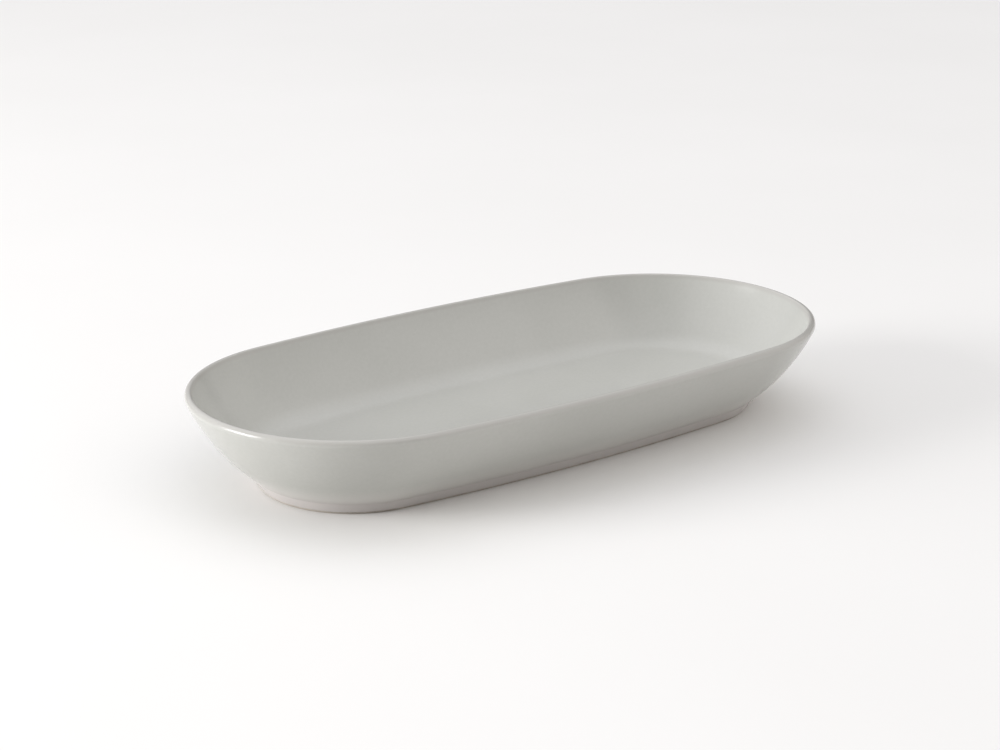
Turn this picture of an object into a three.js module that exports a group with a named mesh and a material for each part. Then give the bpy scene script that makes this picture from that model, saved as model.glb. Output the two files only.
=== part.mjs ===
// Relish tray: a shallow oval serving dish of fired clay with a flared wall, a rolled lip,
// a flat floor and a low foot ring. Clay body and glaze are separate solids. Millimetres, +Z up,
// +X along the dish, origin on the table under the middle of the dish.
import * as THREE from 'three';

// Overall size of the glazed dish, seen from above and from the side.
const LENGTH = 229;
const WIDTH = 110;
const HEIGHT = 31;
const SIDE_RADIUS = 700; // plan radius of each gently bowed long side, at the rim

// Clay wall: one convex sweep from the lip down to the foot ring.
const CREST_RADIUS = 0.5; // inner edge of the lip, where the rim is highest
const LIP_RADIUS = 0.6; // outer corner of the lip, where the rim is widest
const LIP_DROP = 1.75; // fall of the lip from its inner edge to the middle of its outer corner
const LIP_TILT = THREE.MathUtils.degToRad(25); // lean of the wall from the vertical, just under the lip
const WALL_RADIUS = 69; // outer radius of the wall's convex section
const WALL_THICKNESS = 2;

// Clay floor of the well.
const FLOOR_THICKNESS = 4.5;
const WELL_FILLET = 14.5; // concave turn from the wall into the floor

// Clay foot ring that the dish stands on, and the shallow recess inside it.
const FOOT_HEIGHT = 3.8; // straight outer side of the ring
const FOOT_DRAFT = THREE.MathUtils.degToRad(25); // lean of that side from the vertical
const FOOT_WIDTH = 4; // at the table
const FOOT_FILLET = 0.8; // concave turn from the wall into the ring
const FOOT_EDGE_RADIUS = 0.4; // both edges of the standing face
const RECESS_DEPTH = 3.6;
const RECESS_FILLET = 1.5;

// Glaze: a glass layer on the clay, wiped off the standing face and a little way up the ring's sides.
const GLAZE_THICKNESS = 0.3;
const BARE_STRIP = 0.8; // bare clay between the table and the glaze line

// Steps along each curve.
const END_STEPS = 20;
const SIDE_STEPS = 6;
const WALL_STEPS = 7;
const WELL_STEPS = 5;
const LIP_STEPS = 3;
const EDGE_STEPS = 2;

const QUARTER = Math.PI / 2;
const HALF = Math.PI;

// Plan: a four-centre oval whose end arcs meet the side arcs in tangent.
const halfLength = LENGTH / 2;
const halfWidth = WIDTH / 2;
const endRadius = (2 * SIDE_RADIUS * halfWidth - halfLength ** 2 - halfWidth ** 2)
  / (2 * (SIDE_RADIUS - halfLength));
const endCentre = halfLength - endRadius;
const sideCentre = SIDE_RADIUS - halfWidth;
const sideHalfAngle = Math.asin(endCentre / (SIDE_RADIUS - endRadius));

// Section: x is the distance in from the rim, square to the plan outline, and y is the height.
// The wall's inner and outer faces share one centre, inside the dish.
const lipCentre = new THREE.Vector2(GLAZE_THICKNESS + LIP_RADIUS, HEIGHT - LIP_DROP);
const wallCentre = new THREE.Vector2(Math.cos(LIP_TILT), Math.sin(LIP_TILT))
  .multiplyScalar(WALL_RADIUS - LIP_RADIUS)
  .add(lipCentre);
const innerWallRadius = WALL_RADIUS - WALL_THICKNESS;

// The crest touches the inner wall, and the lip rolls from its top down to the outer corner.
const clayTop = HEIGHT - GLAZE_THICKNESS;
const crestCentre = centreBelow(innerWallRadius + CREST_RADIUS, clayTop - CREST_RADIUS);
const rollReach = crestCentre.x - lipCentre.x;
const rollDrop = clayTop - lipCentre.y;
const rollRadius = (rollReach ** 2 + rollDrop ** 2 - LIP_RADIUS ** 2) / (2 * (rollDrop - LIP_RADIUS));
const rollCentre = new THREE.Vector2(crestCentre.x, clayTop - rollRadius);

// The well's fillet touches the inner wall and the floor.
const floorTop = RECESS_DEPTH + FLOOR_THICKNESS;
const wellCentre = centreBelow(innerWallRadius - WELL_FILLET, floorTop + WELL_FILLET);

// The foot fillet touches the outer wall and the top of the ring's straight side, which it places.
const footCentre = centreBelow(
  WALL_RADIUS + FOOT_FILLET,
  FOOT_HEIGHT - FOOT_FILLET * Math.sin(FOOT_DRAFT),
);
const footOuter = footCentre.x + FOOT_FILLET * Math.cos(FOOT_DRAFT) + FOOT_HEIGHT * Math.tan(FOOT_DRAFT);
const footInner = footOuter + FOOT_WIDTH;
const recessCentre = new THREE.Vector2(footInner + RECESS_FILLET, RECESS_DEPTH - RECESS_FILLET);

// Point on the rim's side of the wall's centre, at a given reach from it and a given height.
function centreBelow(reach, height) {
  const drop = wallCentre.y - height;
  return new THREE.Vector2(wallCentre.x - Math.sqrt(reach ** 2 - drop ** 2), height);
}

// Direction from the wall's centre to a point of the section, between HALF and 1.5 HALF.
function wallAngle(point) {
  return HALF + Math.atan2(wallCentre.y - point.y, wallCentre.x - point.x);
}

function arc(centre, radius, start, end, steps) {
  return new THREE.EllipseCurve(centre.x, centre.y, radius, radius, start, end, end < start).getPoints(steps);
}

// Section of everything glazed from above: the floor's edge, the well, the inner wall, the lip,
// the outer wall and the ring's side down to the glaze line. The offset is measured out of the clay.
function upperSection(offset) {
  const wellAngle = wallAngle(wellCentre);
  const crestAngle = wallAngle(crestCentre);
  const rollAngle = lipCentre.clone().sub(rollCentre).angle();
  const footAngle = wallAngle(footCentre);
  return [
    ...arc(wellCentre, WELL_FILLET - offset, 3 * QUARTER, wellAngle, WELL_STEPS),
    ...arc(wallCentre, innerWallRadius - offset, wellAngle, crestAngle, WALL_STEPS).slice(1),
    ...arc(crestCentre, CREST_RADIUS + offset, crestAngle - HALF, QUARTER, LIP_STEPS).slice(1),
    ...arc(rollCentre, rollRadius + offset, QUARTER, rollAngle, LIP_STEPS).slice(1),
    ...arc(lipCentre, LIP_RADIUS + offset, rollAngle, HALF + LIP_TILT, LIP_STEPS).slice(1),
    ...arc(wallCentre, WALL_RADIUS + offset, HALF + LIP_TILT, footAngle, WALL_STEPS).slice(1),
    ...arc(footCentre, FOOT_FILLET - offset, footAngle - HALF, FOOT_DRAFT, EDGE_STEPS).slice(1),
    new THREE.Vector2(
      footOuter - BARE_STRIP * Math.tan(FOOT_DRAFT) - offset / Math.cos(FOOT_DRAFT),
      BARE_STRIP,
    ),
  ];
}

// Section of the bare foot ring, from the glaze line outside to just short of the one inside.
function footSection() {
  const outerReach = FOOT_EDGE_RADIUS * (1 - Math.sin(FOOT_DRAFT)) / Math.cos(FOOT_DRAFT);
  const outerEdge = new THREE.Vector2(footOuter + outerReach, FOOT_EDGE_RADIUS);
  const innerEdge = new THREE.Vector2(footInner - FOOT_EDGE_RADIUS, FOOT_EDGE_RADIUS);
  return [
    ...arc(outerEdge, FOOT_EDGE_RADIUS, HALF + FOOT_DRAFT, 3 * QUARTER, EDGE_STEPS),
    ...arc(innerEdge, FOOT_EDGE_RADIUS, 3 * QUARTER, 4 * QUARTER, EDGE_STEPS),
  ];
}

// Section of the glazed recess, from the glaze line inside the ring to the edge of its flat roof.
function recessSection(offset) {
  return [
    new THREE.Vector2(footInner + offset, BARE_STRIP),
    ...arc(recessCentre, RECESS_FILLET - offset, HALF, QUARTER, EDGE_STEPS),
  ];
}

// Closed plan outline of the dish at a given distance in from the rim, anticlockwise.
function ovalOutline(inset) {
  const sideRadius = SIDE_RADIUS - inset;
  const endArc = endRadius - inset;
  const right = new THREE.Vector2(endCentre, 0);
  const left = new THREE.Vector2(-endCentre, 0);
  const back = new THREE.Vector2(0, -sideCentre);
  const front = new THREE.Vector2(0, sideCentre);
  const turn = QUARTER - sideHalfAngle;
  return [
    ...arc(right, endArc, -turn, turn, END_STEPS).slice(1),
    ...arc(back, sideRadius, turn, HALF - turn, SIDE_STEPS).slice(1),
    ...arc(left, endArc, HALF - turn, HALF + turn, END_STEPS).slice(1),
    ...arc(front, sideRadius, HALF + turn, 2 * HALF - turn, SIDE_STEPS).slice(1),
  ];
}

// Closed solid: a section carried round the oval, with a flat top inside its first ring
// and a flat underside inside its last.
function sweepRoundOval(section) {
  const rings = section.map((point) => ovalOutline(point.x));
  const count = rings[0].length;
  const positions = rings.flatMap((ring, k) => ring.flatMap((p) => [p.x, p.y, section[k].y]));
  const index = [];
  for (let k = 0; k + 1 < rings.length; k += 1) {
    for (let i = 0; i < count; i += 1) {
      const upper = k * count + i;
      const upperNext = k * count + ((i + 1) % count);
      const lower = upper + count;
      const lowerNext = upperNext + count;
      index.push(upper, lower, lowerNext, upper, lowerNext, upperNext);
    }
  }
  const lastRing = (rings.length - 1) * count;
  for (const [a, b, c] of THREE.ShapeUtils.triangulateShape(rings[0], [])) {
    index.push(a, b, c);
  }
  for (const [a, b, c] of THREE.ShapeUtils.triangulateShape(rings.at(-1), [])) {
    index.push(lastRing + a, lastRing + c, lastRing + b);
  }
  const geometry = new THREE.BufferGeometry();
  geometry.setAttribute('position', new THREE.Float32BufferAttribute(positions, 3));
  geometry.setIndex(index);
  geometry.computeVertexNormals();
  return geometry;
}

// Fired clay: floor, wall, lip and foot ring in one piece.
function ceramicBody() {
  const section = [...upperSection(0), ...footSection(), ...recessSection(0)];
  const clay = new THREE.MeshStandardMaterial({ color: 0xdcd6ca, roughness: 0.85, metalness: 0 });
  return new THREE.Mesh(sweepRoundOval(section), clay);
}

// Glaze fused on the clay from the floor, over the lip, to the glaze line outside.
function glazeCoat() {
  const section = [...upperSection(GLAZE_THICKNESS), ...upperSection(0).reverse()];
  const glaze = new THREE.MeshStandardMaterial({ color: 0xd6d6d0, roughness: 0.2, metalness: 0 });
  return new THREE.Mesh(sweepRoundOval(section), glaze);
}

// Glaze fused on the roof of the recess and the inner side of the ring.
function baseGlaze() {
  const section = [...recessSection(0).reverse(), ...recessSection(GLAZE_THICKNESS)];
  const glaze = new THREE.MeshStandardMaterial({ color: 0xd6d6d0, roughness: 0.25, metalness: 0 });
  return new THREE.Mesh(sweepRoundOval(section), glaze);
}

const relishTray = new THREE.Group();
const pieces = {
  ceramic_body: ceramicBody(),
  glaze_coat: glazeCoat(),
  base_glaze: baseGlaze(),
};
for (const [name, mesh] of Object.entries(pieces)) {
  mesh.name = name;
  relishTray.add(mesh);
}

export default relishTray;
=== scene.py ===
"""A relish tray: a shallow oval serving dish of fired clay under a pale glaze, on a plain pale table."""
import math

import bmesh
import bpy
from mathutils import Matrix, Vector


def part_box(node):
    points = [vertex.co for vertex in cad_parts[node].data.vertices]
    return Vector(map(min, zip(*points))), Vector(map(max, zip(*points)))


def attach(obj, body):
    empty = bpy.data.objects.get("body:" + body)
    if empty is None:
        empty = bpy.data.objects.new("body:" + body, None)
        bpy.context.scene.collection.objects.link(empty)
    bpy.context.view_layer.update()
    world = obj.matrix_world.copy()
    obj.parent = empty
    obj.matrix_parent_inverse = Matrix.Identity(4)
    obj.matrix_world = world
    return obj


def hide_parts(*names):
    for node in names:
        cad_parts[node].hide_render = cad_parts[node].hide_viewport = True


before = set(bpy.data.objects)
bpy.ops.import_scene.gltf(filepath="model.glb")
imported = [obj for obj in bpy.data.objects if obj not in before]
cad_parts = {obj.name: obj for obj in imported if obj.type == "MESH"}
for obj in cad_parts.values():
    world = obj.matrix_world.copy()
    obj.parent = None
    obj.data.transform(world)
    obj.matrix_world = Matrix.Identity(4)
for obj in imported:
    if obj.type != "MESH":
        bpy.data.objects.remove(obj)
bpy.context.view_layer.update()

# Clay body
# The dish itself, pressed in one piece from fine stoneware clay and fired hard: floor, flared wall, lip
# and foot ring. Only the ring's standing face and the foot of its sides are bare, because the glaze there
# is wiped off before the firing.

rim_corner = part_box("glaze_coat")[1]
half_length = rim_corner.x
half_width = rim_corner.y
rim_height = rim_corner.z
GLAZE = 0.0003

# Plan: the long sides are gently bowed, and the round ends run into them in tangent.
SIDE_RADIUS = 0.700
end_radius = (
    (2 * SIDE_RADIUS * half_width - half_length**2 - half_width**2) / (2 * (SIDE_RADIUS - half_length))
)
end_centre = half_length - end_radius
side_centre = SIDE_RADIUS - half_width
side_half_turn = math.asin(end_centre / (SIDE_RADIUS - end_radius))
end_half_turn = math.pi / 2 - side_half_turn

# Section at the dish's +X end: the wall's two faces are arcs about one centre inside the dish.
CREST_RADIUS = 0.0005
LIP_RADIUS = 0.0006
LIP_DROP = 0.00175
LIP_TILT = math.radians(25)
WALL_RADIUS = 0.069
WALL_THICKNESS = 0.002
WELL_FILLET = 0.0145
FLOOR_THICKNESS = 0.0045
FOOT_HEIGHT = 0.0038
FOOT_DRAFT = math.radians(25)
FOOT_WIDTH = 0.004
FOOT_FILLET = 0.0008
FOOT_EDGE_RADIUS = 0.0004
RECESS_DEPTH = 0.0036
RECESS_FILLET = 0.0015
BARE_STRIP = 0.0008

# Steps along each curve, and the finish of the meshes.
END_STEPS = 96
SIDE_STEPS = 28
WELL_STEPS = 16
INNER_WALL_STEPS = 20
CREST_STEPS = 8
ROLL_STEPS = 18
OUTER_WALL_STEPS = 24
FOOT_FILLET_STEPS = 3
EDGE_STEPS = 5
SEAM_GAP = 0.000002
SHARP_ANGLE = math.radians(40)

lip_centre = Vector((half_length - GLAZE - LIP_RADIUS, 0, rim_height - LIP_DROP))
wall_reach = WALL_RADIUS - LIP_RADIUS
wall_centre = lip_centre + wall_reach * Vector((-math.cos(LIP_TILT), 0, math.sin(LIP_TILT)))
inner_radius = WALL_RADIUS - WALL_THICKNESS


def beside_wall(reach, height):
    """Point of the section at a height, and at a reach from the wall's centre."""
    drop = wall_centre.z - height
    return Vector((wall_centre.x + math.sqrt(reach**2 - drop**2), 0, height))


def lean(point):
    """Lean from the vertical of the wall where it faces a point of the section."""
    return math.atan2(wall_centre.z - point.z, point.x - wall_centre.x)


# The crest touches the inner wall, and the lip rolls from its top round to the outer corner.
clay_top = rim_height - GLAZE
crest_centre = beside_wall(inner_radius + CREST_RADIUS, clay_top - CREST_RADIUS)
roll_reach = lip_centre.x - crest_centre.x
roll_drop = clay_top - lip_centre.z
roll_radius = (roll_reach**2 + roll_drop**2 - LIP_RADIUS**2) / (2 * (roll_drop - LIP_RADIUS))
roll_centre = Vector((crest_centre.x, 0, clay_top - roll_radius))
roll_turn = math.atan2(roll_reach, lip_centre.z - roll_centre.z)

# The well's fillet touches the inner wall and the floor, and the foot's fillet places the ring's side.
floor_top = RECESS_DEPTH + FLOOR_THICKNESS
well_centre = beside_wall(inner_radius - WELL_FILLET, floor_top + WELL_FILLET)
foot_centre = beside_wall(WALL_RADIUS + FOOT_FILLET, FOOT_HEIGHT - FOOT_FILLET * math.sin(FOOT_DRAFT))
foot_outer = foot_centre.x - FOOT_FILLET * math.cos(FOOT_DRAFT) - FOOT_HEIGHT * math.tan(FOOT_DRAFT)
foot_inner = foot_outer - FOOT_WIDTH
recess_centre = Vector((foot_inner - RECESS_FILLET, 0, RECESS_DEPTH - RECESS_FILLET))

# Turns of the glazed face from the floor's edge to the foot fillet, seen from -Y, left turns positive.
quarter = math.pi / 2
well_lean = lean(well_centre)
crest_lean = lean(crest_centre)
foot_lean = lean(foot_centre)
upper_turns = [
    (well_centre, quarter - well_lean, WELL_STEPS),
    (wall_centre, well_lean - crest_lean, INNER_WALL_STEPS),
    (crest_centre, crest_lean - quarter, CREST_STEPS),
    (roll_centre, -roll_turn, ROLL_STEPS),
    (lip_centre, roll_turn - quarter - LIP_TILT, 1),
    (wall_centre, LIP_TILT - foot_lean, OUTER_WALL_STEPS),
    (foot_centre, foot_lean - FOOT_DRAFT, FOOT_FILLET_STEPS),
]


def arc_to(mesh, point, centre, turn, steps):
    """Carries a point of the section round a centre and returns where it ends."""
    made = bmesh.ops.spin(
        mesh, geom=[point], cent=centre, axis=(0, -1, 0), angle=turn, steps=steps, use_duplicate=False
    )
    return next(part for part in made["geom_last"] if isinstance(part, bmesh.types.BMVert))


def line_to(mesh, point, x, z):
    """Carries a point of the section straight to a place and returns where it ends."""
    made = bmesh.ops.extrude_vert_indiv(mesh, verts=[point])
    made["verts"][0].co = (x, 0, z)
    return made["verts"][0]


def draw_upper(mesh, point, stop):
    """Section from the floor's edge over the lip and down the ring's leaning side to a height."""
    for centre, turn, steps in upper_turns:
        point = arc_to(mesh, point, centre, turn, steps)
    run = point.co.z - stop
    return line_to(mesh, point, point.co.x - run * math.tan(FOOT_DRAFT), stop)


def sweep_round_oval(mesh):
    """Carries the section round the plan's four arcs, welds the seam and closes the flat middles."""
    right_end = Vector((end_centre, 0, 0))
    back_side = Vector((0, -side_centre, 0))
    legs = [
        (right_end, end_half_turn, END_STEPS // 2),
        (back_side, 2 * side_half_turn, SIDE_STEPS),
        (-right_end, 2 * end_half_turn, END_STEPS),
        (-back_side, 2 * side_half_turn, SIDE_STEPS),
        (right_end, end_half_turn, END_STEPS // 2),
    ]
    ring = mesh.verts[:] + mesh.edges[:]
    seam = mesh.verts[:]
    for centre, turn, steps in legs:
        made = bmesh.ops.spin(
            mesh, geom=ring, cent=centre, axis=(0, 0, 1), angle=turn, steps=steps, use_duplicate=False
        )
        ring = made["geom_last"]
    seam += [part for part in ring if isinstance(part, bmesh.types.BMVert)]
    bmesh.ops.remove_doubles(mesh, verts=seam, dist=SEAM_GAP)
    bmesh.ops.holes_fill(mesh, edges=[edge for edge in mesh.edges if edge.is_boundary], sides=0)
    bmesh.ops.recalc_face_normals(mesh, faces=mesh.faces[:])


def finish_piece(mesh, name, material, node):
    """Turns a bmesh into a smooth shaded object that rides on the dish in place of its solid."""
    for edge in mesh.edges:
        edge.smooth = edge.calc_face_angle() < SHARP_ANGLE
    data = bpy.data.meshes.new(name)
    mesh.to_mesh(data)
    mesh.free()
    data.polygons.foreach_set("use_smooth", [True] * len(data.polygons))
    data.materials.append(material)
    piece = bpy.data.objects.new(name, data)
    bpy.context.scene.collection.objects.link(piece)
    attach(piece, "root")
    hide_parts(node)


# The clay's section runs on from the glaze line, round the standing face and up into the recess.
clay_mesh = bmesh.new()
tip = clay_mesh.verts.new((well_centre.x, 0, floor_top))
tip = draw_upper(clay_mesh, tip, BARE_STRIP)
outer_edge_reach = FOOT_EDGE_RADIUS * (1 - math.sin(FOOT_DRAFT)) / math.cos(FOOT_DRAFT)
outer_edge = Vector((foot_outer - outer_edge_reach, 0, FOOT_EDGE_RADIUS))
inner_edge = Vector((foot_inner + FOOT_EDGE_RADIUS, 0, FOOT_EDGE_RADIUS))
side_foot = outer_edge + FOOT_EDGE_RADIUS * Vector((math.cos(FOOT_DRAFT), 0, -math.sin(FOOT_DRAFT)))
tip = line_to(clay_mesh, tip, side_foot.x, side_foot.z)
tip = arc_to(clay_mesh, tip, outer_edge, FOOT_DRAFT - quarter, EDGE_STEPS)
tip = line_to(clay_mesh, tip, inner_edge.x, 0)
tip = arc_to(clay_mesh, tip, inner_edge, -quarter, EDGE_STEPS)
tip = line_to(clay_mesh, tip, foot_inner, BARE_STRIP)
tip = line_to(clay_mesh, tip, foot_inner, recess_centre.z)
arc_to(clay_mesh, tip, recess_centre, quarter, EDGE_STEPS)
sweep_round_oval(clay_mesh)


def new_material(name):
    """Material with a plain shader, and the shader itself."""
    material = bpy.data.materials.new(name)
    material.use_nodes = True
    return material, material.node_tree.nodes["Principled BSDF"]


def noise(material, scale, detail):
    """Cloudy pattern fixed to the object, with scale in waves a metre."""
    tree = material.node_tree
    place = tree.nodes.new("ShaderNodeTexCoord")
    pattern = tree.nodes.new("ShaderNodeTexNoise")
    pattern.inputs["Scale"].default_value = scale
    pattern.inputs["Detail"].default_value = detail
    tree.links.new(place.outputs["Object"], pattern.inputs["Vector"])
    return pattern.outputs["Fac"]


def ramp(material, amount, stops):
    """Colours set out along an amount from 0 to 1."""
    tree = material.node_tree
    colours = tree.nodes.new("ShaderNodeValToRGB")
    colours.color_ramp.elements.remove(colours.color_ramp.elements[1])
    for k, (position, colour) in enumerate(stops):
        stop = colours.color_ramp.elements[0] if k == 0 else colours.color_ramp.elements.new(position)
        stop.position = position
        stop.color = (*colour, 1)
    tree.links.new(amount, colours.inputs["Fac"])
    return colours.outputs["Color"]


def spread(material, amount, low_end, high_end, low_value, high_value):
    """Stretches part of an amount's range to new values."""
    tree = material.node_tree
    stretch = tree.nodes.new("ShaderNodeMapRange")
    stretch.interpolation_type = "SMOOTHSTEP"
    stretch.inputs["From Min"].default_value = low_end
    stretch.inputs["From Max"].default_value = high_end
    stretch.inputs["To Min"].default_value = low_value
    stretch.inputs["To Max"].default_value = high_value
    tree.links.new(amount, stretch.inputs["Value"])
    return stretch.outputs["Result"]


def blend(material, kind, amount, under, over):
    """Lays one colour over another, by a fixed or a varying amount."""
    tree = material.node_tree
    mixer = tree.nodes.new("ShaderNodeMix")
    mixer.data_type = "RGBA"
    mixer.blend_type = kind
    if isinstance(amount, float):
        mixer.inputs[0].default_value = amount
    else:
        tree.links.new(amount, mixer.inputs[0])
    for socket, colour in ((mixer.inputs[6], under), (mixer.inputs[7], over)):
        if isinstance(colour, tuple):
            socket.default_value = (*colour, 1)
        else:
            tree.links.new(colour, socket)
    return mixer.outputs[2]


def bump(material, height, depth, strength, below=None):
    """Fine relief from a pattern, with depth in metres, on top of another relief if there is one."""
    tree = material.node_tree
    relief = tree.nodes.new("ShaderNodeBump")
    relief.inputs["Distance"].default_value = depth
    relief.inputs["Strength"].default_value = strength
    tree.links.new(height, relief.inputs["Height"])
    if below is not None:
        tree.links.new(below, relief.inputs["Normal"])
    return relief.outputs["Normal"]


CLAY_DARK = (0.43, 0.385, 0.335)
CLAY_LIGHT = (0.53, 0.49, 0.435)
CLAY_SPECK = (0.30, 0.25, 0.20)
CLAY_ROUGHNESS = (0.72, 0.92)
CLAY_CLOUD_WAVES = 160
CLAY_SPECK_WAVES = 1900
CLAY_SHEEN_WAVES = 300
CLAY_GRAIN_WAVES = 2600
CLAY_GRAIN_DEPTH = 0.00006
clay, clay_shader = new_material("bare_clay")
clay_cloud = ramp(clay, noise(clay, CLAY_CLOUD_WAVES, 5), [(0.35, CLAY_DARK), (0.65, CLAY_LIGHT)])
clay_specks = spread(clay, noise(clay, CLAY_SPECK_WAVES, 2), 0.66, 0.74, 0, 0.6)
clay_colour = blend(clay, "MIX", clay_specks, clay_cloud, CLAY_SPECK)
clay_sheen = spread(clay, noise(clay, CLAY_SHEEN_WAVES, 3), 0.3, 0.7, *CLAY_ROUGHNESS)
clay_grain = bump(clay, noise(clay, CLAY_GRAIN_WAVES, 4), CLAY_GRAIN_DEPTH, 0.6)
clay.node_tree.links.new(clay_colour, clay_shader.inputs["Base Color"])
clay.node_tree.links.new(clay_sheen, clay_shader.inputs["Roughness"])
clay.node_tree.links.new(clay_grain, clay_shader.inputs["Normal"])
finish_piece(clay_mesh, "clay_body", clay, "ceramic_body")

# Glaze coat
# A thin glass skin melted on the clay in the firing: over the floor and the inner wall, round the lip
# and down the outside to the line where it was wiped off the foot ring.

GLAZE_ROUND = 0.00022
glaze_mesh = bmesh.new()
face_start = glaze_mesh.verts.new((well_centre.x, 0, floor_top + GLAZE))
face_end = draw_upper(glaze_mesh, face_start, BARE_STRIP + GLAZE_ROUND * (1 - math.sin(FOOT_DRAFT)))
round_centre = face_end.co + GLAZE_ROUND * Vector((-math.cos(FOOT_DRAFT), 0, math.sin(FOOT_DRAFT)))
face_end = arc_to(glaze_mesh, face_end, round_centre, FOOT_DRAFT - quarter, EDGE_STEPS)
back_start = glaze_mesh.verts.new((well_centre.x, 0, floor_top))
back_end = draw_upper(glaze_mesh, back_start, BARE_STRIP)
glaze_mesh.edges.new((face_end, back_end))
sweep_round_oval(glaze_mesh)

# How far each place faces up is kept with the mesh for the painted bounce light: the lower the outer
# wall, the more it faces down.
glaze_mesh.normal_update()
facing_up = glaze_mesh.verts.layers.float.new("facing_up")
for vert in glaze_mesh.verts:
    vert[facing_up] = vert.normal.z

GLAZE_DEEP = (0.482, 0.482, 0.452)
GLAZE_PALE = (0.516, 0.515, 0.486)
GLAZE_MOTTLE_LOW = (0.965, 0.965, 0.962)
GLAZE_MOTTLE_HIGH = (1, 1, 1)
GLAZE_ROUGHNESS = (0.17, 0.24)
GLAZE_CLOUD_WAVES = 16
GLAZE_MOTTLE_WAVES = 850
GLAZE_GLOSS_WAVES = 90
GLAZE_SWELL_WAVES = 45
GLAZE_SWELL_DEPTH = 0.0003
GLAZE_PEEL_WAVES = 620
GLAZE_PEEL_DEPTH = 0.00003


def mottled_glaze(name):
    """Glossy glaze with faint clouds, a fine mottle and a slight swell: material, shader and tone."""
    material, shader = new_material(name)
    clouds = noise(material, GLAZE_CLOUD_WAVES, 3)
    mottles = noise(material, GLAZE_MOTTLE_WAVES, 4)
    cloud = ramp(material, clouds, [(0.35, GLAZE_DEEP), (0.65, GLAZE_PALE)])
    mottle = ramp(material, mottles, [(0.3, GLAZE_MOTTLE_LOW), (0.7, GLAZE_MOTTLE_HIGH)])
    gloss = spread(material, noise(material, GLAZE_GLOSS_WAVES, 4), 0.3, 0.7, *GLAZE_ROUGHNESS)
    swell = bump(material, noise(material, GLAZE_SWELL_WAVES, 2), GLAZE_SWELL_DEPTH, 0.12)
    peel = bump(material, noise(material, GLAZE_PEEL_WAVES, 3), GLAZE_PEEL_DEPTH, 0.25, swell)
    material.node_tree.links.new(gloss, shader.inputs["Roughness"])
    material.node_tree.links.new(peel, shader.inputs["Normal"])
    return material, shader, blend(material, "MULTIPLY", 1.0, cloud, mottle)


# Painted bounce light makes the glaze paler where the outer wall faces down towards the table. Along the
# lip the glaze is darker and a little warmer. On the foot ring it is warmer and paler, the paler tone
# being painted light that lifts the shade next to the table.
GLAZE_PAINTED_BOUNCE = (0.63, 0.617, 0.587)
GLAZE_LIP_TONE = (0.464, 0.452, 0.425)
GLAZE_FOOT_PAINTED_LIGHT = (0.565, 0.531, 0.515)
PAINTED_BOUNCE_FACING = (-0.79, -0.66)
LIP_TONE_BELOW_RIM = (0.0018, 0.0006)
FOOT_LIGHT_HEIGHTS = (0.0028, 0.0062)
coat_glaze, coat_shader, coat_tone = mottled_glaze("coat_glaze")
coat_place = coat_glaze.node_tree.nodes.new("ShaderNodeTexCoord")
coat_axes = coat_glaze.node_tree.nodes.new("ShaderNodeSeparateXYZ")
coat_glaze.node_tree.links.new(coat_place.outputs["Object"], coat_axes.inputs["Vector"])
coat_height = coat_axes.outputs["Z"]
coat_facing = coat_glaze.node_tree.nodes.new("ShaderNodeAttribute")
coat_facing.attribute_name = "facing_up"
# Painted bounce light: the glaze turns paler where the outer wall faces down towards the table.
painted_bounce = spread(coat_glaze, coat_facing.outputs["Fac"], *PAINTED_BOUNCE_FACING, 1, 0)
# A band just under the rim is darker and a little warmer along the lip.
lip_tone_from, lip_tone_to = (rim_height - depth for depth in LIP_TONE_BELOW_RIM)
lip_tone = spread(coat_glaze, coat_height, lip_tone_from, lip_tone_to, 0, 0.9)
# Painted light: the foot ring is warmer and paler low down, the paler tone lifting the shade next to the
# table.
foot_painted_light = spread(coat_glaze, coat_height, *FOOT_LIGHT_HEIGHTS, 0.9, 0)
coat_colour = blend(coat_glaze, "MIX", painted_bounce, coat_tone, GLAZE_PAINTED_BOUNCE)
coat_colour = blend(coat_glaze, "MIX", lip_tone, coat_colour, GLAZE_LIP_TONE)
coat_colour = blend(coat_glaze, "MIX", foot_painted_light, coat_colour, GLAZE_FOOT_PAINTED_LIGHT)
coat_glaze.node_tree.links.new(coat_colour, coat_shader.inputs["Base Color"])
finish_piece(glaze_mesh, "glaze_coat_skin", coat_glaze, "glaze_coat")

# Base glaze
# The same glaze under the dish, melted on the roof of the shallow recess and the inner side of the foot
# ring. The bare standing face parts it from the coat.


def draw_recess(mesh, point):
    """Section of the recess from a point on the ring's inner side to the edge of the roof."""
    point = line_to(mesh, point, point.co.x, recess_centre.z)
    arc_to(mesh, point, recess_centre, quarter, EDGE_STEPS)


base_mesh = bmesh.new()
line_start = base_mesh.verts.new((foot_inner, 0, BARE_STRIP))
draw_recess(base_mesh, line_start)
round_centre = Vector((foot_inner - GLAZE + GLAZE_ROUND, 0, BARE_STRIP + GLAZE_ROUND))
line_end = line_to(base_mesh, line_start, round_centre.x, BARE_STRIP)
draw_recess(base_mesh, arc_to(base_mesh, line_end, round_centre, -quarter, EDGE_STEPS))
sweep_round_oval(base_mesh)
base_glaze, base_shader, base_tone = mottled_glaze("base_glaze")
base_glaze.node_tree.links.new(base_tone, base_shader.inputs["Base Color"])
finish_piece(base_mesh, "base_glaze_skin", base_glaze, "base_glaze")

# Table
# A plain painted table top, pale and matt, far wider than the dish. It carries the dish and its shadow,
# and isn't part of it.

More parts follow.
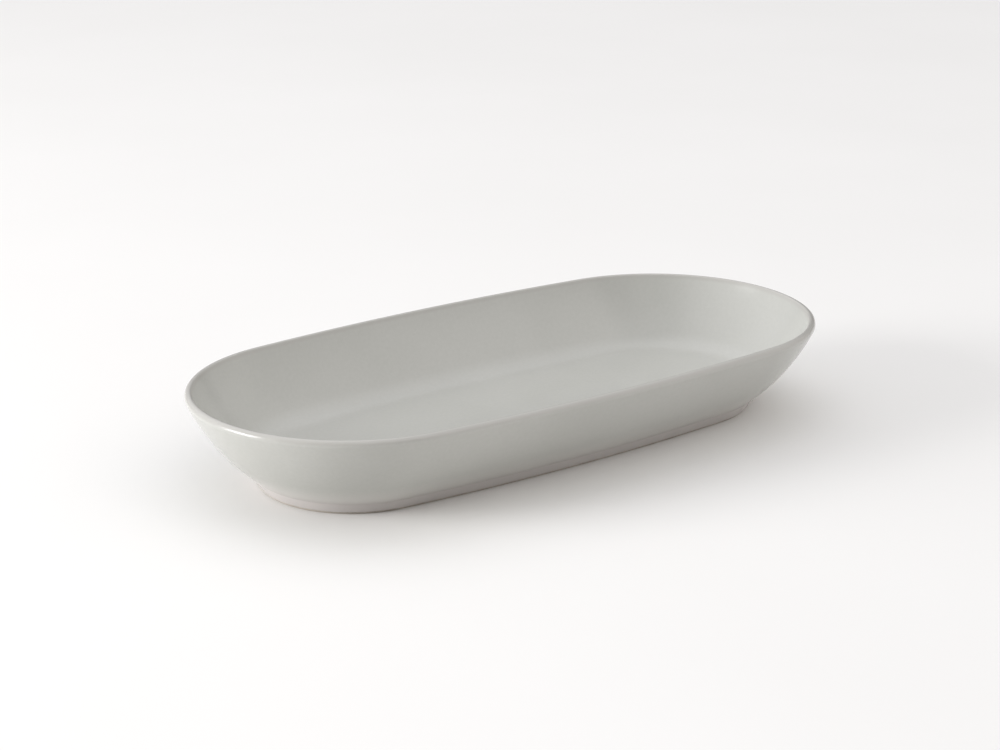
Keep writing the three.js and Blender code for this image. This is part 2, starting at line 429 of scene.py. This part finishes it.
TABLE_HALF_WIDTH = 15
TABLE_LOW = (0.85, 0.84, 0.825)
TABLE_HIGH = (0.865, 0.855, 0.841)
TABLE_WAVES = 6
table_mesh = bmesh.new()
bmesh.ops.create_grid(table_mesh, x_segments=1, y_segments=1, size=TABLE_HALF_WIDTH)
table_data = bpy.data.meshes.new("table")
table_mesh.to_mesh(table_data)
table_mesh.free()
table = bpy.data.objects.new("table", table_data)
bpy.context.scene.collection.objects.link(table)
table_paint, table_shader = new_material("table_paint")
table_tone = ramp(table_paint, noise(table_paint, TABLE_WAVES, 4), [(0.3, TABLE_LOW), (0.7, TABLE_HIGH)])
table_paint.node_tree.links.new(table_tone, table_shader.inputs["Base Color"])
table_shader.inputs["Roughness"].default_value = 0.75
table_shader.inputs["Specular IOR Level"].default_value = 0.2
table_data.materials.append(table_paint)

# Light
# A soft box stands low beyond the dish's left end. The rest of the room is dim, with a cool pale ceiling
# and warmer pale walls in front of the dish and beyond its right end.

CEILING_TINT = (0.965, 0.972, 1, 1)
WALL_TINT = (1, 0.978, 0.958, 1)
ROOM = 0.05
world = bpy.data.worlds.new("studio")
world.use_nodes = True
room_nodes = world.node_tree.nodes
room_links = world.node_tree.links
ceiling = room_nodes["Background"]
ceiling.inputs["Color"].default_value = CEILING_TINT
walls = room_nodes.new("ShaderNodeBackground")
walls.inputs["Color"].default_value = WALL_TINT
room = room_nodes.new("ShaderNodeAddShader")
room_links.new(ceiling.outputs["Background"], room.inputs[0])
room_links.new(walls.outputs["Background"], room.inputs[1])
room_links.new(room.outputs["Shader"], room_nodes["World Output"].inputs["Surface"])
bpy.context.scene.world = world


def direction(turn, climb):
    """Unit vector from the dish, by its angle round from +X and its angle above the table, in degrees."""
    turn = math.radians(turn)
    climb = math.radians(climb)
    return Vector((math.cos(climb) * math.cos(turn), math.cos(climb) * math.sin(turn), math.sin(climb)))


def room_glow(under, turn, climb, reach, strength):
    """Adds a round pale patch of the room to its brightness, fading out about a reach in degrees."""
    place = room_nodes.new("ShaderNodeTexCoord")
    facing = room_nodes.new("ShaderNodeVectorMath")
    facing.operation = "DOT_PRODUCT"
    facing.inputs[1].default_value = direction(turn, climb)
    fade = room_nodes.new("ShaderNodeMapRange")
    fade.interpolation_type = "SMOOTHSTEP"
    fade.inputs["From Min"].default_value = math.cos(math.radians(1.4 * reach))
    fade.inputs["From Max"].default_value = math.cos(math.radians(0.6 * reach))
    fade.inputs["To Max"].default_value = strength
    total = room_nodes.new("ShaderNodeMath")
    room_links.new(place.outputs["Object"], facing.inputs[0])
    room_links.new(facing.outputs["Value"], fade.inputs["Value"])
    room_links.new(fade.outputs["Result"], total.inputs[0])
    if isinstance(under, float):
        total.inputs[1].default_value = under
    else:
        room_links.new(under, total.inputs[1])
    return total.outputs["Value"]


above = room_glow(ROOM, turn=123, climb=61, reach=53, strength=0.76)
above = room_glow(above, turn=54, climb=62, reach=30, strength=0.6)
room_links.new(above, ceiling.inputs["Strength"])
around = room_glow(0.0, turn=335, climb=30, reach=34, strength=0.6)
around = room_glow(around, turn=319, climb=36, reach=26, strength=0.42)
around = room_glow(around, turn=275, climb=47, reach=25, strength=1.0)
around = room_glow(around, turn=308, climb=6, reach=26, strength=0.36)
room_links.new(around, walls.inputs["Strength"])

SOFT_BOX_SIZE = 0.65
SOFT_BOX_WATTS = 19.6
SOFT_BOX_DISTANCE = 1.5
soft_box_way = direction(159, 13.5)
soft_box_data = bpy.data.lights.new("soft_box", "AREA")
soft_box_data.shape = "SQUARE"
soft_box_data.size = SOFT_BOX_SIZE
soft_box_data.energy = SOFT_BOX_WATTS
soft_box = bpy.data.objects.new("soft_box", soft_box_data)
soft_box.location = soft_box_way * SOFT_BOX_DISTANCE
soft_box.rotation_euler = (-soft_box_way).to_track_quat("-Z", "Y").to_euler()
bpy.context.scene.collection.objects.link(soft_box)
bpy.context.scene.view_settings.view_transform = "Standard"

# Camera
# A long lens stands well back, in front of the dish's left end and above it. It stands a little aside
# and raised, so that the dish sits in the picture as it does in the photo.

AZIMUTH = math.radians(-36.98)
ELEVATION = math.radians(18.34)
DISTANCE = 0.7236
ASIDE = 0.00509
RAISE = -0.02042
LENS_MM = 79.2
back = Vector((
    math.sin(AZIMUTH) * math.cos(ELEVATION),
    -math.cos(AZIMUTH) * math.cos(ELEVATION),
    math.sin(ELEVATION),
))
right = Vector((math.cos(AZIMUTH), math.sin(AZIMUTH), 0))
up = back.cross(right)
camera_data = bpy.data.cameras.new("camera")
camera_data.lens = LENS_MM
camera = bpy.data.objects.new("camera", camera_data)
camera.matrix_world = Matrix((right, up, back)).transposed().to_4x4()
camera.location = back * DISTANCE - right * ASIDE - up * RAISE
bpy.context.scene.collection.objects.link(camera)
bpy.context.scene.camera = camera
